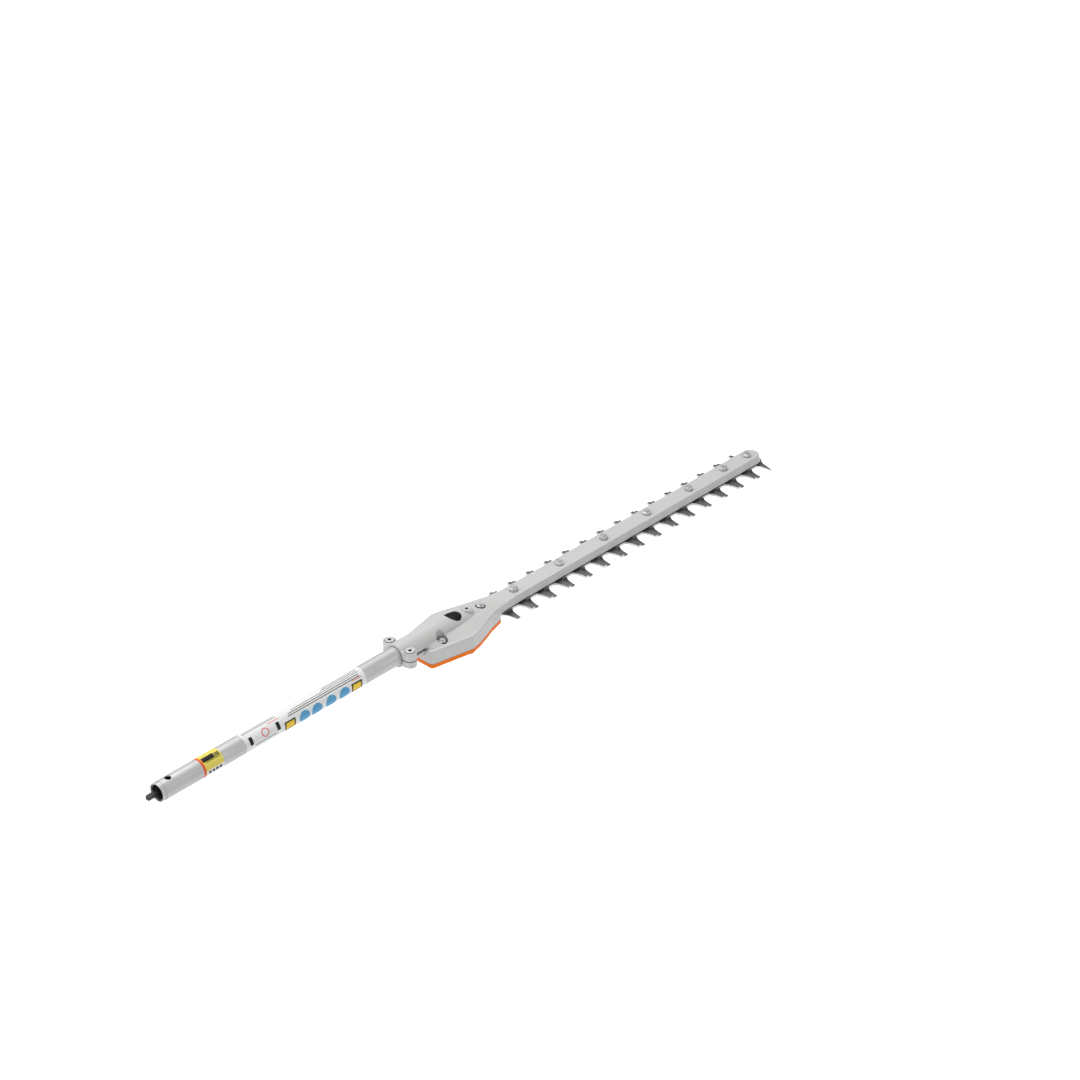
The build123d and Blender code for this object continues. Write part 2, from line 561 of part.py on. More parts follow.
with BuildPart() as bottom_cover:
    with BuildSketch(Plane.XY.offset(COVER_BOTTOM)):
        outer = case_corners(0, 536.0)
        with BuildLine():
            Polyline(*outer[:5], (NOSE_X, NOSE_HALF), (NOSE_X, -NOSE_HALF), *outer[5:], close=True)
        make_face()
        round_corners(vertices())
    extrude(amount=COVER_TOP - COVER_BOTTOM)
    chamfer(faces().sort_by(Axis.Z)[0].edges(), 1.0)
    with BuildSketch(Plane.XY.offset(COVER_FLOOR)):
        with BuildLine():
            Polyline(*case_corners(WALL, 534.0), close=True)
        make_face()
    extrude(amount=10, mode=Mode.SUBTRACT)
    with BuildSketch(Plane.XY.offset(COVER_FLOOR - 0.4)):
        with Locations(*both_sides(COVER_SCREWS)):
            Circle(4.2)
        with Locations(*both_sides(CASE_BOLTS)):
            Circle(5.6)
    extrude(amount=COVER_TOP - COVER_FLOOR + 0.4)
    with Locations(((532 + NOSE_X + 2) / 2, 0, COVER_TOP)):
        Box(NOSE_X + 2 - 532, 23, 2.2, mode=Mode.SUBTRACT)
    with BuildSketch(Plane.XY.offset(COVER_BOTTOM - 1)):
        with Locations(*both_sides(COVER_SCREWS)):
            Circle(2.0)
        with Locations(*both_sides(CASE_BOLTS)):
            Circle(THREAD_R)
        with Locations((GUIDE_X, 0)):
            Circle(GUIDE_R)
    extrude(amount=10, mode=Mode.SUBTRACT)

with BuildPart() as cover_gasket:
    with BuildSketch(Plane.XY.offset(COVER_TOP)):
        outer = case_corners(0, 536.0)
        with BuildLine():
            Polyline(*outer[:5], (NOSE_X, NOSE_HALF), (NOSE_X, -NOSE_HALF), *outer[5:], close=True)
        make_face()
        round_corners(vertices())
        offset(amount=-0.5)
        with BuildLine():
            Polyline(*case_corners(WALL, 534.0), close=True)
        make_face(mode=Mode.SUBTRACT)
        with Locations(((530 + NOSE_X + 2) / 2, 0)):
            Rectangle(NOSE_X + 2 - 530, 23, mode=Mode.SUBTRACT)
        with Locations(*both_sides(COVER_SCREWS)):
            Circle(4.0)
            Circle(2.0, mode=Mode.SUBTRACT)
        with Locations(*both_sides(CASE_BOLTS)):
            Circle(5.4)
            Circle(THREAD_R, mode=Mode.SUBTRACT)
    extrude(amount=CASE_BOTTOM - COVER_TOP)

with BuildPart() as cover_screws:
    for at in both_sides(COVER_SCREWS):
        for radius, bottom, top in ((4.0, COVER_BOTTOM - 2.4, COVER_BOTTOM), (2.0, COVER_BOTTOM, -11.0)):
            with BuildSketch(Plane.XY.offset(bottom)):
                with Locations(at):
                    Circle(radius)
            extrude(amount=top - bottom)
    with BuildSketch(Plane.XY.offset(COVER_BOTTOM - 3)):
        with Locations(*both_sides(COVER_SCREWS)):
            for angle in (0, 60, 120):
                SlotOverall(3.8, 1.2, rotation=angle)
    extrude(amount=1.8, mode=Mode.SUBTRACT)

with BuildPart() as case_bolts:
    for at in both_sides(CASE_BOLTS):
        with BuildSketch(Plane.XY.offset(COVER_BOTTOM - 3.4)):
            with Locations(at):
                RegularPolygon(5.8, 6)
        extrude(amount=3.4)
        with BuildSketch(Plane.XY.offset(COVER_BOTTOM)):
            with Locations(at):
                Circle(THREAD_R)
        extrude(amount=1.8 - COVER_BOTTOM)

with BuildPart() as case_nuts:
    with BuildSketch(Plane.XY.offset(-4.6)):
        with Locations(*both_sides(CASE_BOLTS)):
            RegularPolygon(5.7, 6)
            Circle(THREAD_R, mode=Mode.SUBTRACT)
    extrude(amount=4.8)

with BuildPart() as guide_screw:
    for radius, bottom, top in ((6.0, COVER_BOTTOM - 3.0, COVER_BOTTOM),
                                (GUIDE_R, COVER_BOTTOM, STRIP_BOTTOM), (THREAD_R, STRIP_BOTTOM, 5.6)):
        with BuildSketch(Plane.XY.offset(bottom)):
            with Locations((GUIDE_X, 0)):
                Circle(radius)
        extrude(amount=top - bottom)
    with BuildSketch(Plane.XY.offset(COVER_BOTTOM - 4)):
        with Locations((GUIDE_X, 0)):
            RegularPolygon(2.8, 6)
    extrude(amount=2.8, mode=Mode.SUBTRACT)

with BuildPart() as guide_nut:
    with BuildSketch(Plane.XY.offset(-0.4)):
        with Locations((GUIDE_X, 0)):
            RegularPolygon(5.77, 6)
            Circle(THREAD_R, mode=Mode.SUBTRACT)
    extrude(amount=4.6)

# ---- blade stack --------------------------------------------------------------------------
with BuildPart() as spacer_strip:
    with BuildSketch(Plane.XY.offset(STRIP_BOTTOM)):
        with Locations(((561 + BAR_TIP - BAR_HALF) / 2, 0)):
            Rectangle(BAR_TIP - BAR_HALF - 561, 2 * STRIP_HALF)
        with Locations((BAR_TIP - BAR_HALF, 0)):
            Circle(STRIP_HALF)
        with Locations(*[(x, 0) for x in BOLT_X]):
            Circle(SHOULDER_R, mode=Mode.SUBTRACT)
    extrude(amount=BAR_BOTTOM - STRIP_BOTTOM)

TOOTH = ((3.4, TOOTH_REACH), (3.9, 28.0), (4.8, 22.7), (5.7, 18.6), (7.6, 14.4),
         (10.2, TOOTH_ROOT), (10.2, 6.0))


def tooth_outline(centre, side):
    """Plan of one tooth, its root buried in the blade's spine."""
    half = [(centre + dx, side * y) for dx, y in TOOTH]
    outline = half + [(2 * centre - x, y) for x, y in reversed(half)]
    return outline[::-side]


def spine(rear, front):
    """Plain strap that carries a blade's teeth."""
    with Locations(((rear + front) / 2, 0)):
        Rectangle(front - rear, 2 * TOOTH_ROOT)


def rod_hole_and_slots(pin_x, slots):
    """Hole for the rod's pin, and a slot for each screw."""
    with Locations((pin_x, 0)):
        Circle(4.0, mode=Mode.SUBTRACT)
    for middle, length, width in slots:
        with Locations((middle, 0)):
            SlotOverall(length, width, mode=Mode.SUBTRACT)


def slots_for(shift):
    """Slots that let the blade pass its screws over the whole stroke."""
    travel = STROKE_OUT + STROKE_IN
    guide = [(GUIDE_X + shift, travel + 2 * GUIDE_R + 0.6, 2 * GUIDE_R + 0.6)]
    return guide + [(x + shift, travel + 2 * SHOULDER_R + 0.6, 2 * SHOULDER_R + 0.6) for x in BOLT_X]


MID_SHIFT = (STROKE_IN - STROKE_OUT) / 2

with BuildPart() as upper_blade:
    with BuildSketch(Plane.XY.offset(UPPER_TOP - BLADE_T)):
        spine(UPPER_PIN_X - 8.0, 1084.0)
        with BuildLine():
            Polyline((1083.5, TOOTH_ROOT), (1089.0, 8.0), (1093.6, 5.0), (1094.2, 0), (1093.6, -6.0),
                     (1089.0, -10.0), (1085.8, -15.0), (1080.8, -34.0), (1078.6, -34.0), (1077.4, -24.0),
                     (1076.6, -18.0), (1072.0, -TOOTH_ROOT), (1072.0, 0), (1083.5, 0), close=True)
        make_face()
        rod_hole_and_slots(UPPER_PIN_X, slots_for(MID_SHIFT))
    extrude(amount=BLADE_T)
    for k in range(1, 15):
        with BuildSketch(Plane.XY.offset(UPPER_TOP - BLADE_T)):
            with BuildLine():
                Polyline(*tooth_outline(UPPER_NEAR + k * TOOTH_PITCH, -1), close=True)
            make_face()
        extrude(amount=BLADE_T, taper=18)
    for k in range(15):
        with BuildSketch(Plane.XY.offset(UPPER_TOP - BLADE_T)):
            with BuildLine():
                Polyline(*tooth_outline(UPPER_NEAR + FAR_SHIFT + k * TOOTH_PITCH, 1), close=True)
            make_face()
        extrude(amount=BLADE_T, taper=18)

with BuildPart() as lower_blade:
    with BuildSketch(Plane.XY.offset(LOWER_TOP - BLADE_T)):
        spine(LOWER_PIN_X - 8.0, 1085.0)
        rod_hole_and_slots(LOWER_PIN_X, slots_for(-MID_SHIFT))
    extrude(amount=BLADE_T)
    for first, side, count in ((LOWER_NEAR, -1, 15), (LOWER_NEAR + FAR_SHIFT, 1, 14)):
        for k in range(count):
            with BuildSketch(Plane.XY.offset(LOWER_TOP)):
                with BuildLine():
                    Polyline(*tooth_outline(first + k * TOOTH_PITCH, side), close=True)
                make_face()
            extrude(amount=-BLADE_T, taper=18)

with BuildPart() as blade_screws:
    for x in BOLT_X:
        for radius, bottom, top in ((6.6, -27.2, -23.7), (SHOULDER_R, -23.7, BAR_BOTTOM),
                                    (THREAD_R, BAR_BOTTOM, 2.4)):
            with BuildSketch(Plane.XY.offset(bottom)):
                with Locations((x, 0)):
                    Circle(radius)
            extrude(amount=top - bottom)
    with BuildSketch(Plane.XY.offset(-28)):
        with Locations(*[(x, 0) for x in BOLT_X]):
            RegularPolygon(2.9, 6)
    extrude(amount=3.2, mode=Mode.SUBTRACT)

with BuildPart() as blade_washers:
    with BuildSketch(Plane.XY.offset(-23.7)):
        with Locations(*[(x, 0) for x in BOLT_X]):
            Circle(8.0)
            Circle(SHOULDER_R, mode=Mode.SUBTRACT)
    extrude(amount=1.0)

with BuildPart() as lock_nuts:
    with BuildSketch(Plane.XY.offset(BAR_TOP)):
        with Locations(*[(x, 0) for x in BOLT_X]):
            RegularPolygon(5.77, 6)
            Circle(THREAD_R, mode=Mode.SUBTRACT)
    extrude(amount=3.9)
    with BuildSketch(Plane.XY.offset(BAR_TOP + 3.9)):
        with Locations(*[(x, 0) for x in BOLT_X]):
            Circle(4.6)
            Circle(3.9, mode=Mode.SUBTRACT)
    extrude(amount=1.4)

with BuildPart() as lock_nut_inserts:
    with BuildSketch(Plane.XY.offset(BAR_TOP + 3.9)):
        with Locations(*[(x, 0) for x in BOLT_X]):
            Circle(3.9)
            Circle(THREAD_R, mode=Mode.SUBTRACT)
    extrude(amount=1.1)

# ---- export -------------------------------------------------------------------------------
os.makedirs("parts", exist_ok=True)
PARTS = {
    "drive_tube": drive_tube, "tube_end_sleeve": tube_end_sleeve, "shaft_bushes": shaft_bushes,
    "drive_shaft": drive_shaft, "bevel_pinion": bevel_pinion, "pinion_circlip": pinion_circlip,
    "pinion_bearing_outer": pinion_bearing_outer, "pinion_bearing_inner": pinion_bearing_inner,
    "pinion_bearing_balls": pinion_bearing_balls, "bore_circlip": bore_circlip, "crankshaft": crankshaft,
    "crank_circlip": crank_circlip, "bevel_wheel": bevel_wheel, "wheel_key": wheel_key,
    "crank_bearing_outer": crank_bearing_outer, "crank_bearing_inner": crank_bearing_inner,
    "crank_bearing_balls": crank_bearing_balls, "upper_rod": upper_rod, "upper_rod_pin": upper_rod_pin,
    "lower_rod": lower_rod, "lower_rod_pin": lower_rod_pin, "gear_housing": gear_housing,
    "lower_clamp": lower_clamp, "clamp_screws": clamp_screws, "bore_plug": bore_plug,
    "filler_plug": filler_plug, "filler_washer": filler_washer, "bottom_cover": bottom_cover,
    "cover_gasket": cover_gasket, "cover_screws": cover_screws, "case_bolts": case_bolts,
    "case_nuts": case_nuts, "guide_screw": guide_screw, "guide_nut": guide_nut,
    "spacer_strip": spacer_strip, "upper_blade": upper_blade, "lower_blade": lower_blade,
    "blade_screws": blade_screws, "blade_washers": blade_washers, "lock_nuts": lock_nuts,
    "lock_nut_inserts": lock_nut_inserts,
}
for name, piece in PARTS.items():
    piece.part.label = name
    export_step(piece.part, f"parts/{name}.step")
    box = piece.part.bounding_box()
    print(f"{name:22s} {len(piece.part.solids()):3d} solids  X {box.min.X:8.2f} {box.max.X:8.2f}"
          f"  Y {box.min.Y:7.2f} {box.max.Y:7.2f}  Z {box.min.Z:7.2f} {box.max.Z:7.2f}")
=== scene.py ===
# %% [markdown]
# A long-reach hedge trimmer attachment.
# The metal pieces come from the CAD frame, so this lesson is mostly about finishes: drawn aluminium,
# painted die casting, dark blade steel with ground edges, zinc plate, rubber and moulded plastic.
# A few small pieces are modelled here: the lock nuts, case nuts and guide nut, which are plainer in
# the frame, and the printed wraps on the tube, which the frame doesn't have.

# %% Load the frame
import math

import bmesh
import bpy
from mathutils import Matrix, Vector


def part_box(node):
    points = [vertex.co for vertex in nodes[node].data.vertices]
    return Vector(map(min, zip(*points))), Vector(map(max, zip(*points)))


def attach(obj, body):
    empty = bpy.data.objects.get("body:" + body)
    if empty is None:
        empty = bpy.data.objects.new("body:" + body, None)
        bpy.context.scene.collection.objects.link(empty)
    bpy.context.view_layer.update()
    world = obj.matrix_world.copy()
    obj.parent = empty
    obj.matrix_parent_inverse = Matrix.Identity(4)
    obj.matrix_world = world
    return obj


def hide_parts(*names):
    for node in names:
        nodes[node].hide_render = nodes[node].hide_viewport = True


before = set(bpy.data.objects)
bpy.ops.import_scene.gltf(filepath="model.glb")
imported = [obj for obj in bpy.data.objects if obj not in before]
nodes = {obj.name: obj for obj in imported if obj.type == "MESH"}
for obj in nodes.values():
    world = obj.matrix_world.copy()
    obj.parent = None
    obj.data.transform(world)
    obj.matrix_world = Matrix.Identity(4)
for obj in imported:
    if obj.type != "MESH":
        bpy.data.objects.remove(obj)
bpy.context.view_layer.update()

MM = 0.001

# %% [markdown]
# The camera stands above and to the side of the tube's open end and looks along the tool towards the
# blade tip. A long lens keeps the perspective gentle. It aims at the near half of the bar, so the tube
# runs down into the lower left of the frame.

# %% Camera
AIM = Vector((0.7066, 0.0547, 0.0))
DISTANCE, TURN, RISE, LENS = 3.779, math.radians(43.02), math.radians(31.77), 95.585

forward = Vector((math.cos(TURN) * math.cos(RISE), math.sin(TURN) * math.cos(RISE), -math.sin(RISE)))
right = Vector((math.sin(TURN), -math.cos(TURN), 0))
up = right.cross(forward)
camera_data = bpy.data.cameras.new("camera")
camera_data.lens = LENS
camera_data.sensor_width = 36
camera_data.clip_end = 50
camera = bpy.data.objects.new("camera", camera_data)
turned = Matrix((right, up, -forward)).transposed().to_4x4()
camera.matrix_world = Matrix.Translation(AIM - forward * DISTANCE) @ turned
bpy.context.scene.collection.objects.link(camera)
bpy.context.scene.camera = camera
print("camera at", [round(v, 3) for v in camera.matrix_world.translation])

# %% [markdown]
# The studio is a pale room: an even world, a floor well below the tool, one large soft light above and
# beyond it, one on the left for the long highlight on the tube, and a weak one from the right. The
# floor glows more for the camera than for the tool, which keeps it white without washing the tool
# out. It is one-sided: from below it is clear, so that the underside can be seen.

# %% Floor and lights
FLOOR_Z, FLOOR_HALF = -0.42, 60
GLOW_ON_TOOL, GLOW_FOR_CAMERA = 0.25, 0.75


def shader_nodes(material):
    material.use_nodes = True
    return material.node_tree, material.node_tree.nodes["Principled BSDF"]


floor_mesh = bpy.data.meshes.new("floor")
sheet = bmesh.new()
bmesh.ops.create_grid(sheet, x_segments=1, y_segments=1, size=FLOOR_HALF,
                      matrix=Matrix.Translation((0.5, 0.3, FLOOR_Z)))
sheet.to_mesh(floor_mesh)
sheet.free()
floor = bpy.data.objects.new("floor", floor_mesh)
bpy.context.scene.collection.objects.link(floor)
floor_paint = bpy.data.materials.new("floor_paint")
tree, bsdf = shader_nodes(floor_paint)
bsdf.inputs["Base Color"].default_value = (0.9, 0.9, 0.9, 1)
bsdf.inputs["Roughness"].default_value = 0.9
bsdf.inputs["Specular IOR Level"].default_value = 0.1
bsdf.inputs["Emission Color"].default_value = (1, 1, 1, 1)
seen = tree.nodes.new("ShaderNodeLightPath").outputs["Is Camera Ray"]
glow = tree.nodes.new("ShaderNodeMath")
glow.operation = "MULTIPLY_ADD"
glow.inputs[1].default_value, glow.inputs[2].default_value = GLOW_FOR_CAMERA, GLOW_ON_TOOL
tree.links.new(seen, glow.inputs[0])
tree.links.new(glow.outputs[0], bsdf.inputs["Emission Strength"])
mixed = tree.nodes.new("ShaderNodeMixShader")
tree.links.new(tree.nodes.new("ShaderNodeNewGeometry").outputs["Backfacing"], mixed.inputs[0])
tree.links.new(bsdf.outputs[0], mixed.inputs[1])
tree.links.new(tree.nodes.new("ShaderNodeBsdfTransparent").outputs[0], mixed.inputs[2])
tree.links.new(mixed.outputs[0], tree.nodes["Material Output"].inputs["Surface"])
floor.data.materials.append(floor_paint)


def area_light(name, place, look_at, size, power):
    """A soft rectangular light that faces look_at."""
    data = bpy.data.lights.new(name, "AREA")
    data.shape, data.size, data.size_y = "RECTANGLE", size[0], size[1]
    data.energy = power
    lamp = bpy.data.objects.new(name, data)
    aim = (Vector(look_at) - Vector(place)).to_track_quat("-Z", "Y").to_matrix().to_4x4()
    lamp.matrix_world = Matrix.Translation(place) @ aim
    bpy.context.scene.collection.objects.link(lamp)


area_light("top_softbox", (0.5, 0.9, 2.0), (0.55, 0, 0), (2.4, 1.2), 34)
area_light("left_softbox", (-1.5, 0.6, 1.3), (0.3, 0, 0), (0.7, 1.6), 14)
area_light("right_fill", (1.6, -2.2, 1.1), (0.6, 0, 0), (1.4, 1.4), 9)
bpy.context.scene.view_settings.view_transform = "Standard"
world = bpy.data.worlds.new("studio")
bpy.context.scene.world = world
world.use_nodes = True
world.node_tree.nodes["Background"].inputs["Color"].default_value = (1.0, 1.0, 0.99, 1)
world.node_tree.nodes["Background"].inputs["Strength"].default_value = 0.42

# %% [markdown]
# Three effects are shared by many finishes. Handling marks are broad soft patches of a second colour
# that are also a little duller. A worn edge is where the normal, rounded over a small radius, parts
# from the mesh's own: paint and plating thin out there first. Painted shade darkens the colour where
# the surface sees little of its surroundings: round screw heads, in slits, under nuts.

# %% Shared node groups


def node_group(name, inputs, outputs):
    group = bpy.data.node_groups.new(name, "ShaderNodeTree")
    for label, kind, value in inputs:
        socket = group.interface.new_socket(name=label, in_out="INPUT", socket_type=kind)
        socket.default_value = value
    for label, kind in outputs:
        group.interface.new_socket(name=label, in_out="OUTPUT", socket_type=kind)
    return group, group.nodes.new("NodeGroupInput"), group.nodes.new("NodeGroupOutput")


def math_node(tree, operation, first, second=None, clamp=False):
    node = tree.nodes.new("ShaderNodeMath")
    node.operation, node.use_clamp = operation, clamp
    for socket, value in zip(node.inputs, (first, second)):
        if value is None:
            continue
        if isinstance(value, (int, float)):
            socket.default_value = value
        else:
            tree.links.new(value, socket)
    return node.outputs[0]


def blend_colours(tree, amount, first, second):
    node = tree.nodes.new("ShaderNodeMix")
    node.data_type = "RGBA"
    sockets = node.inputs["Factor"], node.inputs[6], node.inputs[7]
    for socket, value in zip(sockets, (amount, first, second)):
        if isinstance(value, (int, float)):
            socket.default_value = value
        elif isinstance(value, tuple):
            socket.default_value = (*value, 1)
        else:
            tree.links.new(value, socket)
    return node.outputs[2]


def noise(tree, scale, detail=3.0, rough=0.55, stretch=None, seed=0.0):
    """Noise on Object coordinates; stretch scales it along each axis."""
    place = tree.nodes.new("ShaderNodeTexCoord").outputs["Object"]
    mapping = tree.nodes.new("ShaderNodeMapping")
    mapping.inputs["Scale"].default_value = stretch or (1, 1, 1)
    mapping.inputs["Location"].default_value = (seed, seed * 0.7, seed * 1.3)
    tree.links.new(place, mapping.inputs["Vector"])
    texture = tree.nodes.new("ShaderNodeTexNoise")
    texture.inputs["Scale"].default_value = scale
    texture.inputs["Detail"].default_value = detail
    texture.inputs["Roughness"].default_value = rough
    tree.links.new(mapping.outputs["Vector"], texture.inputs["Vector"])
    return texture.outputs["Fac"]


marks, marks_in, marks_out = node_group(
    "handling_marks",
    [("Colour", "NodeSocketColor", (0.5, 0.5, 0.5, 1)),
     ("Mark Colour", "NodeSocketColor", (0.3, 0.3, 0.3, 1)), ("Amount", "NodeSocketFloat", 0.3),
     ("Gloss", "NodeSocketFloat", 0.4)],
    [("Colour", "NodeSocketColor"), ("Roughness", "NodeSocketFloat")])
broad = math_node(marks, "SUBTRACT", noise(marks, 26), 0.45, True)
broad = math_node(marks, "MULTIPLY", broad, 3.0, True)
fine = math_node(marks, "SUBTRACT", noise(marks, 210, 4.0, 0.6, None, 3.1), 0.5, True)
fine = math_node(marks, "MULTIPLY", fine, 3.0, True)
patch = math_node(marks, "ADD", broad, fine, True)
patch = math_node(marks, "MULTIPLY", patch, marks_in.outputs["Amount"])
marks.links.new(blend_colours(marks, patch, marks_in.outputs["Colour"], marks_in.outputs["Mark Colour"]),
                marks_out.inputs["Colour"])
duller = math_node(marks, "MULTIPLY", patch, 0.35)
marks.links.new(math_node(marks, "ADD", marks_in.outputs["Gloss"], duller, True),
                marks_out.inputs["Roughness"])

# Painted shade: where ambient occlusion finds the surface closed in, a patchy mask darkens the colour.
crevice, crevice_in, crevice_out = node_group("painted_crevice_shade", [("Amount", "NodeSocketFloat", 0.7)],
                                              [("Mask", "NodeSocketFloat")])
openness = crevice.nodes.new("ShaderNodeAmbientOcclusion")
openness.samples = 6
openness.inputs["Distance"].default_value = 3 * MM
closed = math_node(crevice, "SUBTRACT", 0.72, openness.outputs["AO"], True)
patchy = math_node(crevice, "ADD", 0.6, noise(crevice, 240, 3.0, 0.6, None, 5.3))
crevice_shade = math_node(crevice, "MULTIPLY", math_node(crevice, "MULTIPLY", closed, patchy), 2.4, True)
crevice.links.new(math_node(crevice, "MULTIPLY", crevice_shade, crevice_in.outputs["Amount"]),
                  crevice_out.inputs["Mask"])

wear, wear_in, wear_out = node_group("worn_edges", [("Amount", "NodeSocketFloat", 0.6)],
                                     [("Mask", "NodeSocketFloat")])
rounded = wear.nodes.new("ShaderNodeBevel")
rounded.samples = 4
rounded.inputs["Radius"].default_value = 0.5 * MM
mesh_normal = wear.nodes.new("ShaderNodeNewGeometry").outputs["Normal"]
likeness = wear.nodes.new("ShaderNodeVectorMath")
likeness.operation = "DOT_PRODUCT"
wear.links.new(rounded.outputs["Normal"], likeness.inputs[0])
wear.links.new(mesh_normal, likeness.inputs[1])
edge = math_node(wear, "SUBTRACT", 0.995, likeness.outputs["Value"], True)
edge = math_node(wear, "MULTIPLY", edge, 9.0, True)
broken = math_node(wear, "SUBTRACT", noise(wear, 320, 3.0, 0.6, None, 1.7), 0.42, True)
broken = math_node(wear, "MULTIPLY", broken, 6.0, True)
worn_through = math_node(wear, "MULTIPLY", edge, broken)
wear.links.new(math_node(wear, "MULTIPLY", worn_through, wear_in.outputs["Amount"]),
               wear_out.inputs["Mask"])
print("groups:", [g.name for g in bpy.data.node_groups])

# %% [markdown]
# One helper lays out what every finish has in common: a base colour with handling marks, an edge that
# is a shade lighter, painted shade in the corners, a fine surface relief, and the metal and gloss
# values on the shader itself. Grain is the scale of the relief, its depth in mm and its stretch.

# %% Finish helper


def finish(name, colour, mark, gloss, metal=0.0, amount=0.3, edge_colour=None, edge_amount=0.5,
           grain=(900, 0.02, None), coat=0.0, soft_edge=0.35, crevice_shade=0.0, shine=0.5):
    """A material with the shared effects; gloss is its roughness, soft_edge a radius in mm."""
    material = bpy.data.materials.new(name)
    tree, bsdf = shader_nodes(material)
    marked = tree.nodes.new("ShaderNodeGroup")
    marked.node_tree = marks
    marked.inputs["Colour"].default_value = (*colour, 1)
    marked.inputs["Mark Colour"].default_value = (*mark, 1)
    marked.inputs["Amount"].default_value = amount
    marked.inputs["Gloss"].default_value = gloss
    tinted = marked.outputs["Colour"]
    if edge_colour:
        worn = tree.nodes.new("ShaderNodeGroup")
        worn.node_tree = wear
        worn.inputs["Amount"].default_value = edge_amount
        tinted = blend_colours(tree, worn.outputs["Mask"], tinted, edge_colour)
    # Painted shade: the colour is blended towards near black wherever the crevice mask is high.
    if crevice_shade:
        hidden = tree.nodes.new("ShaderNodeGroup")
        hidden.node_tree = crevice
        hidden.inputs["Amount"].default_value = crevice_shade
        tinted = blend_colours(tree, hidden.outputs["Mask"], tinted, (0.02, 0.019, 0.018))
    tree.links.new(tinted, bsdf.inputs["Base Color"])
    bsdf.inputs["Specular IOR Level"].default_value = shine
    tree.links.new(marked.outputs["Roughness"], bsdf.inputs["Roughness"])
    bsdf.inputs["Metallic"].default_value = metal
    bsdf.inputs["Coat Weight"].default_value = coat
    scale, depth, stretch = grain
    relief = tree.nodes.new("ShaderNodeBump")
    relief.inputs["Strength"].default_value = 0.5
    relief.inputs["Distance"].default_value = depth * MM
    tree.links.new(noise(tree, scale, 3.0, 0.55, stretch), relief.inputs["Height"])
    if soft_edge:
        corner = tree.nodes.new("ShaderNodeBevel")
        corner.samples = 4
        corner.inputs["Radius"].default_value = soft_edge * MM
        tree.links.new(corner.outputs["Normal"], relief.inputs["Normal"])
    tree.links.new(relief.outputs["Normal"], bsdf.inputs["Normal"])
    return material


def dress(material, *names):
    """Puts a finish on CAD nodes."""
    for name in names:
        for slot in nodes[name].material_slots:
            slot.material = material


# %% [markdown]
# The tube is drawn aluminium. Drawing leaves very fine scratches along it, so its grain is noise that
# is stretched some eighty times along X, and the highlight becomes a long soft band.

# %% Tube and shaft
dress(finish("drawn_aluminium", (0.58, 0.585, 0.59), (0.50, 0.505, 0.51), 0.46, metal=0.45, amount=0.25,
             grain=(1600, 0.012, (0.012, 1, 1)), soft_edge=0.25, crevice_shade=0.6), "drive_tube")
dress(finish("dark_shaft_steel", (0.06, 0.06, 0.065), (0.03, 0.03, 0.03), 0.38, metal=0.9, amount=0.4,
             edge_colour=(0.5, 0.5, 0.5), edge_amount=0.7, grain=(1400, 0.01, (0.05, 1, 1))),
      "drive_shaft", "wheel_key", "upper_rod_pin", "lower_rod_pin")
dress(finish("turned_sleeve", (0.3, 0.3, 0.31), (0.18, 0.18, 0.18), 0.4, metal=1.0), "tube_end_sleeve")
dress(finish("nylon_bush", (0.03, 0.03, 0.032), (0.05, 0.05, 0.05), 0.55, soft_edge=0.2), "shaft_bushes")
print("tube finishes done")

# %% [markdown]
# The gear case and bar are one aluminium casting under light grey paint. Paint over a casting keeps a
# faint orange-peel relief and is a little glossy. Its edges are rubbed a shade lighter.

# %% Casting
dress(finish("casting_paint", (0.60, 0.60, 0.595), (0.54, 0.54, 0.535), 0.42, amount=0.16,
             edge_colour=(0.78, 0.78, 0.77), edge_amount=0.55, grain=(520, 0.05, None), coat=0.12,
             soft_edge=0.9, crevice_shade=0.9),
      "gear_housing", "lower_clamp")

# %% [markdown]
# The cover is orange moulded plastic with a fine spark-eroded texture. The gasket and the bore plug
# are black rubber, rougher and duller.

# %% Plastics and rubber
dress(finish("orange_cover_plastic", (0.97, 0.20, 0.001), (0.88, 0.16, 0.001), 0.5, amount=0.25,
             edge_colour=(1.0, 0.32, 0.04), edge_amount=0.4, grain=(1500, 0.03, None), soft_edge=0.5,
             shine=0.25),
      "bottom_cover")
dress(finish("black_rubber", (0.004, 0.004, 0.004), (0.012, 0.012, 0.012), 0.45, amount=0.5,
             grain=(1100, 0.04, None), shine=0.15), "bore_plug", "cover_gasket")
dress(finish("nylon_insert", (0.62, 0.63, 0.62), (0.5, 0.5, 0.48), 0.45, soft_edge=0.2), "lock_nut_inserts")

# %% [markdown]
# Blade steel is dark and satin, with a faint grain across the blade. The sides of the teeth are ground
# bright. The side faces are found by their normal: it doesn't point up or down.

# %% Blades
ground_steel = finish("blade_steel", (0.19, 0.192, 0.195), (0.11, 0.11, 0.115), 0.42, metal=0.6, amount=0.4,
                      edge_colour=(0.5, 0.5, 0.5), edge_amount=0.25, grain=(700, 0.02, (1, 0.06, 1)),
                      soft_edge=0.12)
tree = ground_steel.node_tree
bsdf = tree.nodes["Principled BSDF"]
upright = tree.nodes.new("ShaderNodeSeparateXYZ")
tree.links.new(tree.nodes.new("ShaderNodeNewGeometry").outputs["True Normal"], upright.inputs["Vector"])
FLAT_ENOUGH = 0.9
side_face = math_node(tree, "LESS_THAN", math_node(tree, "ABSOLUTE", upright.outputs["Z"]), FLAT_ENOUGH)
scoring = math_node(tree, "MULTIPLY", noise(tree, 2600, 2.0, 0.5, (0.3, 0.3, 1)), 0.3)
bright = blend_colours(tree, scoring, (0.92, 0.92, 0.92), (0.6, 0.6, 0.61))
tree.links.new(blend_colours(tree, side_face, bsdf.inputs["Base Color"].links[0].from_socket, bright),
               bsdf.inputs["Base Color"])
dress(ground_steel, "upper_blade", "lower_blade")
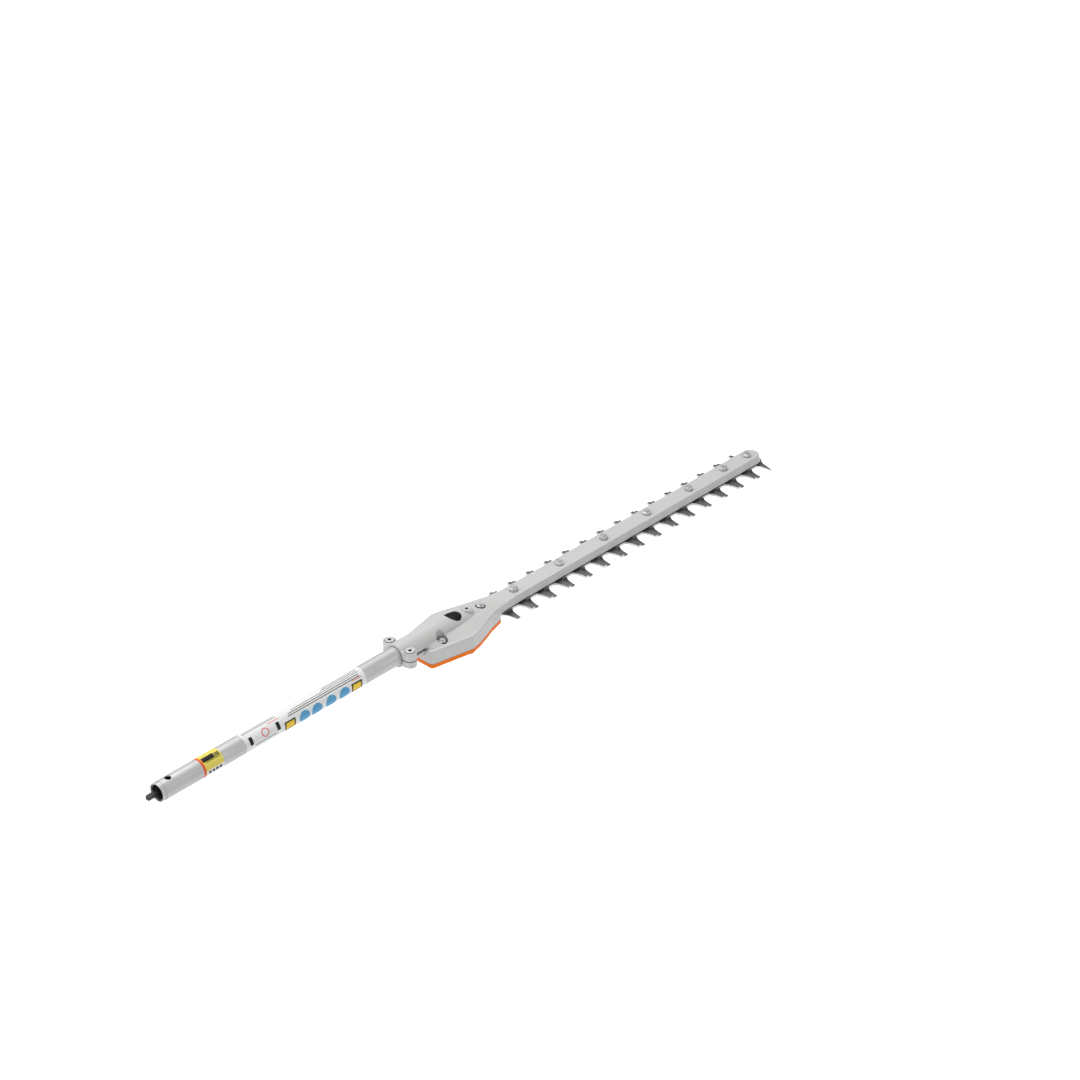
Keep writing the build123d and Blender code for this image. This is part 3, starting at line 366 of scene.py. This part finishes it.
# The spacer strip under the bar is near black. This is partly its own black coating and partly painted
# shade that makes the gap between bar and blades read dark.
dress(finish("black_strip_gap_shade", (0.006, 0.006, 0.006), (0.015, 0.015, 0.015), 0.6, amount=0.4,
             grain=(1200, 0.02, None)), "spacer_strip")
print("blade finishes done")

# %% [markdown]
# Screws, nuts and washers are steel under bright zinc: a pale grey metal with soft patches. The gears,
# rods and bearings inside are hardened steel with a film of oil.

# %% Fasteners and works
zinc = finish("bright_zinc", (0.72, 0.72, 0.71), (0.45, 0.45, 0.45), 0.32, metal=0.8, amount=0.35,
              edge_colour=(0.85, 0.85, 0.84), edge_amount=0.5, grain=(1300, 0.015, None), soft_edge=0.25,
              crevice_shade=1.0)
dress(zinc, "clamp_screws", "filler_plug", "filler_washer", "cover_screws", "case_bolts", "case_nuts",
      "guide_screw", "guide_nut", "blade_screws", "blade_washers", "lock_nuts")
dress(finish("oiled_gear_steel", (0.28, 0.28, 0.29), (0.16, 0.15, 0.14), 0.26, metal=1.0, amount=0.5,
             edge_colour=(0.6, 0.6, 0.6), grain=(1000, 0.01, None), coat=0.3),
      "bevel_pinion", "bevel_wheel", "crankshaft", "upper_rod", "lower_rod")
dress(finish("ground_bearing_steel", (0.55, 0.55, 0.57), (0.4, 0.4, 0.42), 0.14, metal=1.0, amount=0.2),
      "pinion_bearing_outer", "pinion_bearing_inner", "pinion_bearing_balls", "crank_bearing_outer",
      "crank_bearing_inner", "crank_bearing_balls")
dress(finish("spring_steel", (0.09, 0.09, 0.1), (0.05, 0.05, 0.05), 0.35, metal=1.0), "pinion_circlip",
      "bore_circlip", "crank_circlip")

# %% [markdown]
# Every modelled piece is finished in the same way: its normals are made to face outward, it gets one
# finish, it rides on one body, and it may stand in for a node of the frame.

# %% Helpers for modelled pieces


def finish_piece(name, shape, material, body, replaced=(), smooth=True):
    """Makes the object of a bmesh, gives it a finish and ties it to a body."""
    bmesh.ops.recalc_face_normals(shape, faces=shape.faces)
    mesh = bpy.data.meshes.new(name)
    shape.to_mesh(mesh)
    shape.free()
    for face in mesh.polygons:
        face.use_smooth = smooth
    piece = bpy.data.objects.new(name, mesh)
    bpy.context.scene.collection.objects.link(piece)
    piece.data.materials.append(material)
    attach(piece, body)
    if replaced:
        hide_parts(*replaced)
    print(name, len(mesh.polygons), "faces")
    return piece


# %% [markdown]
# Each printed wrap is a film stuck round the tube. It starts as a flat rectangle, is cut into strips
# 1 mm wide, and is then rolled round the tube by moving each vertex. The print is a second layer of
# plain shapes on top of it: bands, discs, bars and a ring.

# %% Printed wraps
tube_low, tube_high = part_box("drive_tube")
TUBE_RADIUS = (tube_high[1] - tube_low[1]) / 2
THICKNESS = 0.03 * MM
FILM_LEVEL, INK_LEVEL, TOP_LEVEL = 0.02 * MM, 0.07 * MM, 0.12 * MM


def rolled(shape, height):
    """Rolls a flat shape round the tube: X stays, and Y becomes the distance round it from the top."""
    lows = [v.co.y for v in shape.verts]
    for step in range(1, int((max(lows) - min(lows)) / MM) + 1):
        everything = shape.verts[:] + shape.edges[:] + shape.faces[:]
        bmesh.ops.bisect_plane(shape, geom=everything, plane_co=(0, min(lows) + step * MM, 0),
                               plane_no=(0, 1, 0))
    for vertex in shape.verts:
        angle = vertex.co.y / TUBE_RADIUS
        vertex.co = Vector((vertex.co.x, -(TUBE_RADIUS + height) * math.sin(angle),
                            (TUBE_RADIUS + height) * math.cos(angle)))


def plain_finish(name, colour):
    """Smooth printed film or ink of one colour."""
    return finish(name, colour, tuple(0.85 * v for v in colour), 0.35, amount=0.2,
                  grain=(1500, 0.006, None), soft_edge=0, shine=0.2)


film_colours = {
    "film_yellow": (0.84, 0.72, 0.13), "film_white": (0.85, 0.86, 0.86), "ink_orange": (0.84, 0.13, 0.03),
    "ink_black": (0.012, 0.012, 0.012), "ink_blue": (0.11, 0.38, 0.66), "ink_amber": (0.90, 0.62, 0.05),
    "ink_red": (0.75, 0.09, 0.05),
}
films = {name: plain_finish(name, colour) for name, colour in film_colours.items()}


def strip(shape, x0, x1, y0, y1):
    """Adds a rectangle to a flat shape."""
    made = bmesh.ops.create_grid(shape, x_segments=1, y_segments=1, size=0.5)["verts"]
    bmesh.ops.scale(shape, vec=(x1 - x0, y1 - y0, 1), verts=made)
    bmesh.ops.translate(shape, vec=((x0 + x1) / 2, (y0 + y1) / 2, 0), verts=made)


def disc(shape, x, y, radius):
    """Adds a round patch to a flat shape."""
    bmesh.ops.create_circle(shape, cap_ends=True, segments=32, radius=radius,
                            matrix=Matrix.Translation((x, y, 0)))


def printed(name, material, height, make):
    """One printed layer: flat shapes made by make(shape), rolled round the tube and given a thickness."""
    flat = bmesh.new()
    make(flat)
    rolled(flat, height)
    bmesh.ops.recalc_face_normals(flat, faces=flat.faces)
    for face in flat.faces:
        middle = face.calc_center_median()
        if face.normal.dot(Vector((0, middle.y, middle.z))) < 0:
            face.normal_flip()
    bmesh.ops.solidify(flat, geom=flat.faces[:], thickness=-THICKNESS)
    return finish_piece(name, flat, material, "head", smooth=False)


ARC = TUBE_RADIUS * math.radians(1)
for name, film, level, start, end, first, last in (
        ("wrap_yellow", "film_yellow", FILM_LEVEL, 62, 93, -60, 84),
        ("wrap_yellow_foot", "film_white", FILM_LEVEL, 62, 93, 84, 150),
        ("wrap_yellow_edge", "ink_orange", INK_LEVEL, 62, 65.4, -60, 150),
        ("wrap_white", "film_white", FILM_LEVEL, 128, 324, -45, 150)):
    printed(name, films[film], level, lambda s: strip(s, start * MM, end * MM, first * ARC, last * ARC))

# %% [markdown]
# The print is only coloured bands and dots, laid out so that the tube has the same rhythm of colour
# as a labelled one. Nothing on it can be read: a dark bar with short rules, rows of thin lines, four
# plain blue dots, two amber blocks with a dark border, a red ring, and plain dark bars.

# %% Print on the wraps
BAR_X, DOT_X, BLOCK_X = (137, 180), (221.4, 241.8, 264.8, 287.2), (198, 308)
RING_X, RING_TURN = 160 * MM, 55 * ARC


def yellow_print(s):
    strip(s, 66 * MM, 84 * MM, 5 * ARC, 34 * ARC)
    for i in range(3):
        strip(s, (85 + 2.3 * i) * MM, (86.6 + 2.3 * i) * MM, 10 * ARC, 34 * ARC)
    strip(s, 69 * MM, 91 * MM, 37 * ARC, 41 * ARC)
    for x in (69, 74.5, 80, 85.5):
        strip(s, x * MM, (x + 3.6) * MM, 90 * ARC, 108 * ARC)


def fine_lines(s):
    for row, (start, end) in enumerate(((262, 318), (258, 317), (206, 318))):
        strip(s, start * MM, end * MM, (-6 + 11 * row) * ARC, (-3 + 11 * row) * ARC)
    for row, start in enumerate((200, 198)):
        strip(s, start * MM, 316 * MM, (28 + 12 * row) * ARC, (32 + 12 * row) * ARC)
    for row, end in enumerate((182, 184)):
        strip(s, 131 * MM, end * MM, (-4 + 9 * row) * ARC, (-1 + 9 * row) * ARC)
    strip(s, 142 * MM, 176 * MM, 92 * ARC, 96 * ARC)


def dark_bars(s):
    for x in BAR_X:
        strip(s, (x - 2.6) * MM, (x + 2.6) * MM, 38 * ARC, 84 * ARC)


def blue_dots(s):
    for x in DOT_X:
        disc(s, x * MM, 95 * ARC, 8.6 * MM)


def blocks(s, half, first, last):
    for x in BLOCK_X:
        strip(s, (x - half) * MM, (x + half) * MM, first * ARC, last * ARC)


def red_rules(s):
    strip(s, 168 * MM, 186 * MM, 20 * ARC, 24 * ARC)
    strip(s, 302 * MM, 318 * MM, 47 * ARC, 51 * ARC)


for name, ink, level, shapes in (
        ("print_yellow_bars", "ink_black", INK_LEVEL, yellow_print),
        ("print_fine_lines", "ink_black", INK_LEVEL, fine_lines),
        ("print_dark_bars", "ink_black", INK_LEVEL, dark_bars),
        ("print_blue_dots", "ink_blue", INK_LEVEL, blue_dots),
        ("print_block_borders", "ink_black", INK_LEVEL, lambda s: blocks(s, 8.6, 64, 120)),
        ("print_block_fields", "ink_amber", TOP_LEVEL, lambda s: blocks(s, 6.6, 72, 112)),
        ("print_red_ring", "ink_red", INK_LEVEL, lambda s: disc(s, RING_X, RING_TURN, 5.6 * MM)),
        ("print_ring_centre", "film_white", TOP_LEVEL, lambda s: disc(s, RING_X, RING_TURN, 4.3 * MM)),
        ("print_red_rules", "ink_orange", INK_LEVEL, red_rules)):
    printed(name, films[ink], level, shapes)

# %% [markdown]
# The nuts are modelled again here because the frame's are plainer. A real lock nut is turned from
# hexagon bar: its top corners are cut back, and the collar that grips the nylon ring is rolled
# inwards. The hexagon is a six-sided cylinder. Its top face is inset and lifted, which leaves a
# chamfer, and the collar is an oval section spun round it. Each nut stops at its own angle.

# %% Lock nuts, case nuts and guide nut
NUT_ACROSS = 10 * MM


def turned_ring(shape, place, radius, half_wide, half_tall):
    """Spins an oval section round Z at a place, as the rolled collar of a lock nut."""
    at = Matrix.Translation(Vector(place) + Vector((radius, 0, 0))) @ Matrix.Rotation(math.pi / 2, 4, "X")
    oval = at @ Matrix.Diagonal((half_wide, half_tall, 1, 1))
    section = bmesh.ops.create_circle(shape, segments=14, radius=1, matrix=oval)["verts"]
    edges = list({edge for vertex in section for edge in vertex.link_edges})
    bmesh.ops.spin(shape, geom=section + edges, cent=place, axis=(0, 0, 1), angle=2 * math.pi, steps=32,
                   use_merge=True)


def hexagon(shape, place, across, height, chamfer, turn):
    """A six-sided nut body with a chamfered top; place is the centre of its foot."""
    middle = Vector(place) + Vector((0, 0, (height - chamfer) / 2))
    spun = Matrix.Translation(middle) @ Matrix.Rotation(math.radians(turn), 4, "Z")
    corner = across / math.sqrt(3)
    made = bmesh.ops.create_cone(shape, cap_ends=True, segments=6, radius1=corner, radius2=corner,
                                 depth=height - chamfer, matrix=spun)["verts"]
    faces = {face for vertex in made for face in vertex.link_faces}
    top = max(faces, key=lambda face: face.calc_center_median().z)
    bmesh.ops.inset_region(shape, faces=[top], thickness=0.08 * across)
    bmesh.ops.translate(shape, verts=top.verts[:], vec=(0, 0, chamfer))


def row_of(node):
    """X centres of the copies of a shape that one CAD node holds along X."""
    xs = sorted(v.co.x for v in nodes[node].data.vertices)
    breaks = [0] + [i for i in range(1, len(xs)) if xs[i] - xs[i - 1] > 20 * MM] + [len(xs)]
    return [(xs[a] + xs[b - 1]) / 2 for a, b in zip(breaks, breaks[1:])]


def stand_in(node, shape):
    """Puts modelled nuts in the place of a node of the frame."""
    piece = finish_piece(node + "_turned", shape, zinc, "head", replaced=(node,), smooth=False)


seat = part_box("lock_nuts")[0].z
lock_nuts = bmesh.new()
for index, x in enumerate(row_of("blade_washers")):
    hexagon(lock_nuts, (x, 0, seat), NUT_ACROSS, 3.9 * MM, 0.6 * MM, 23 * index)
    turned_ring(lock_nuts, (x, 0, seat + 4.35 * MM), 4.25 * MM, 0.33 * MM, 0.95 * MM)
stand_in("lock_nuts", lock_nuts)

low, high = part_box("case_nuts")
case_nuts = bmesh.new()
for y in (low.y + NUT_ACROSS / 2, high.y - NUT_ACROSS / 2):
    hexagon(case_nuts, ((low.x + high.x) / 2, y, low.z), NUT_ACROSS, high.z - low.z, 0.7 * MM, 12)
stand_in("case_nuts", case_nuts)

low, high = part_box("guide_nut")
guide_nut = bmesh.new()
hexagon(guide_nut, ((low.x + high.x) / 2, 0, low.z), NUT_ACROSS, high.z - low.z, 0.8 * MM, 9)
stand_in("guide_nut", guide_nut)
